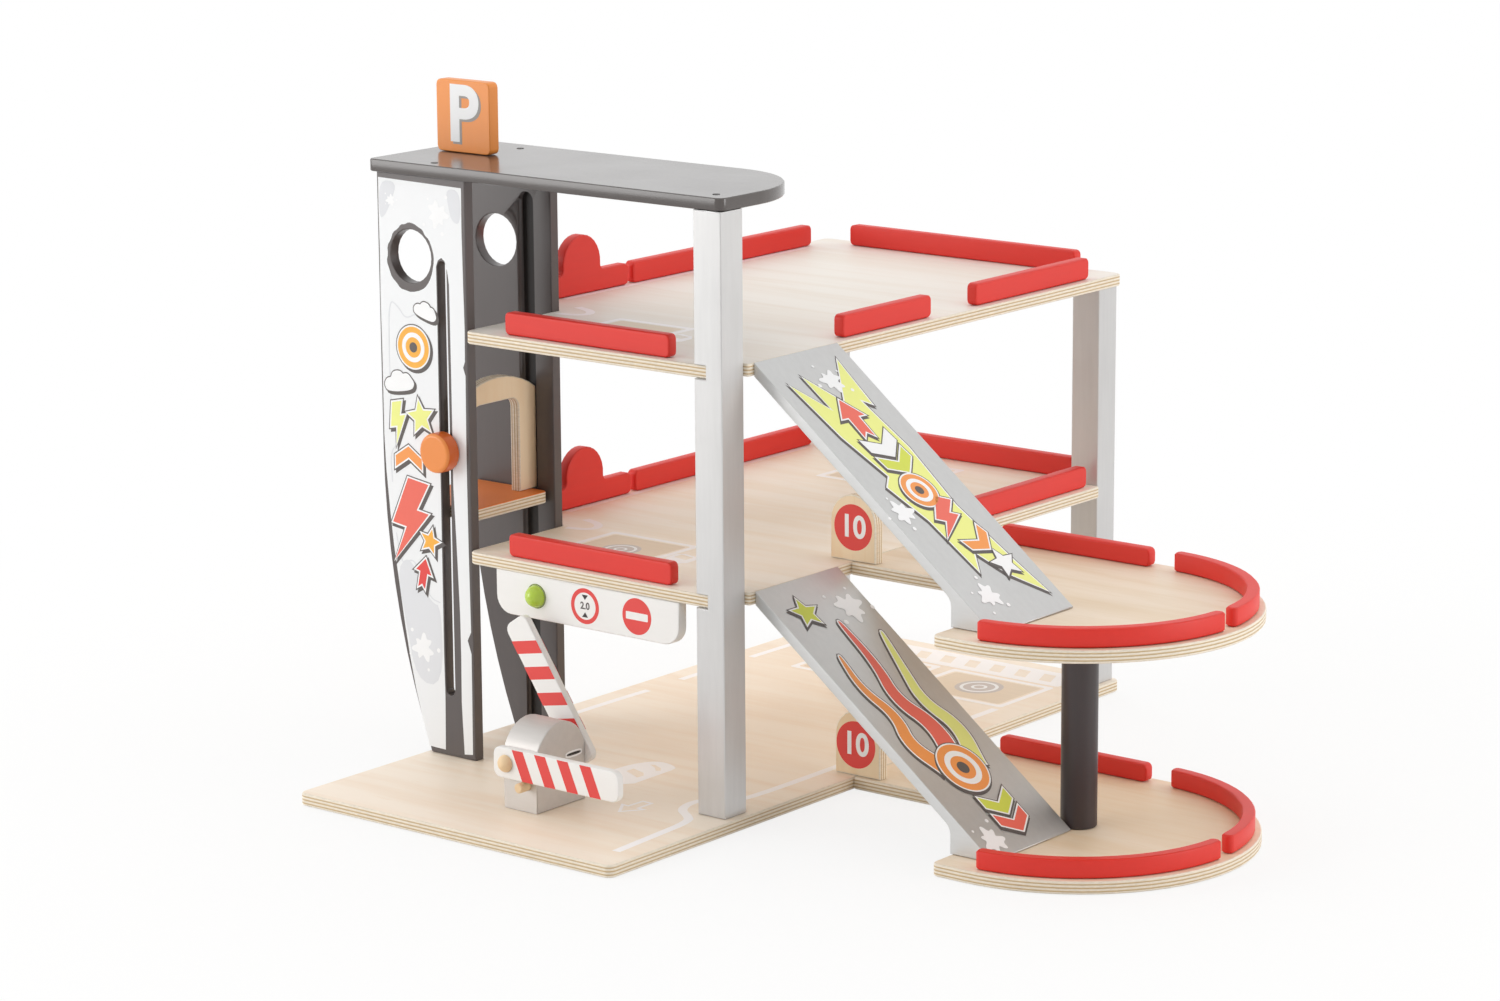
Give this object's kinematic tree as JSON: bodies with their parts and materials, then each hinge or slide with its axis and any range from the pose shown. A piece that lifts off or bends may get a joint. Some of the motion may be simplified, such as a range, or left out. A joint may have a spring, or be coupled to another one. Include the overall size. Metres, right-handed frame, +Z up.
{
  "type": "toy parking garage",
  "caption": "Wooden toy parking garage with two decks on posts, a tower lift with a knob, ramps to half-round landings and a toll point with swinging arms.",
  "frame": {"origin": "on the floor under the middle of the toy's outer box", "axes": "+Z up, +X along the entrance side from the lift tower towards the ramps and landings, +Y from the entrance towards the back"},
  "size_m": [0.645, 0.605, 0.491],
  "materials": {
    "birch_plywood": "clear satin lacquer on birch plywood, layered edges",
    "graphite_lacquer": "dark grey satin lacquer",
    "silver_lacquer": "silver grey satin lacquer",
    "red_lacquer": "red satin lacquer",
    "orange_lacquer": "orange satin lacquer",
    "green_lacquer": "green gloss lacquer",
    "white_lacquer": "white satin lacquer with red stripes",
    "bare_beech": "bare sanded beech"
  },
  "bodies": {
    "garage": {"base_board": "birch_plywood", "base_landing": "birch_plywood", "middle_floor": "birch_plywood", "middle_landing": "birch_plywood", "top_floor": "birch_plywood", "sign_block_ground": "birch_plywood", "sign_block_middle": "birch_plywood", "tower_front_panel": "graphite_lacquer", "tower_rear_panel": "graphite_lacquer", "roof_board": "graphite_lacquer", "landing_column": "graphite_lacquer", "front_post": "silver_lacquer", "rear_right_post": "silver_lacquer", "rear_left_post": "silver_lacquer", "upper_ramp": "silver_lacquer", "lower_ramp": "silver_lacquer", "toll_block": "silver_lacquer", "rail_top_front": "red_lacquer", "rail_top_humped": "red_lacquer", "rail_top_left": "red_lacquer", "rail_top_rear": "red_lacquer", "rail_top_right": "red_lacquer", "rail_top_right_front": "red_lacquer", "rail_middle_front": "red_lacquer", "rail_middle_humped": "red_lacquer", "rail_middle_left": "red_lacquer", "rail_middle_rear": "red_lacquer", "rail_middle_right": "red_lacquer", "rail_middle_landing_front": "red_lacquer", "rail_middle_landing_rear": "red_lacquer", "rail_middle_landing_back": "red_lacquer", "rail_ground_landing_front": "red_lacquer", "rail_ground_landing_rear": "red_lacquer", "rail_ground_landing_back": "red_lacquer", "picture_tile": "orange_lacquer", "entrance_light": "green_lacquer", "entrance_sign": "white_lacquer", "barrier_peg_front": "bare_beech", "barrier_peg_rear": "bare_beech", "arm_rest_front": "bare_beech", "arm_rest_rear": "bare_beech", "sign_peg_ground_deck": "bare_beech", "sign_peg_ground_landing": "bare_beech", "sign_peg_middle_deck": "bare_beech", "sign_peg_middle_landing": "bare_beech"},
    "lift": {"lift_platform": "birch_plywood", "lift_arch": "birch_plywood", "lift_knob": "orange_lacquer", "lift_rod": "bare_beech", "lift_runner": "graphite_lacquer"},
    "barrier_front": {"barrier_arm_front": "white_lacquer"},
    "barrier_rear": {"barrier_arm_rear": "white_lacquer"}
  },
  "joints": [
    {"name": "lift_slide", "type": "slide", "parent": "garage", "child": "lift", "axis": [0, 0, 1], "range_m": [-0.1735, 0.132]},
    {"name": "barrier_front_hinge", "type": "hinge", "parent": "garage", "child": "barrier_front", "pos_m": [-0.1344, -0.2458, 0.0434], "axis": [0, -1, 0], "range_deg": [0, 90]},
    {"name": "barrier_rear_hinge", "type": "hinge", "parent": "garage", "child": "barrier_rear", "pos_m": [-0.1196, -0.1882, 0.0434], "axis": [0, 1, 0], "range_deg": [-56, 34]}
  ]
}
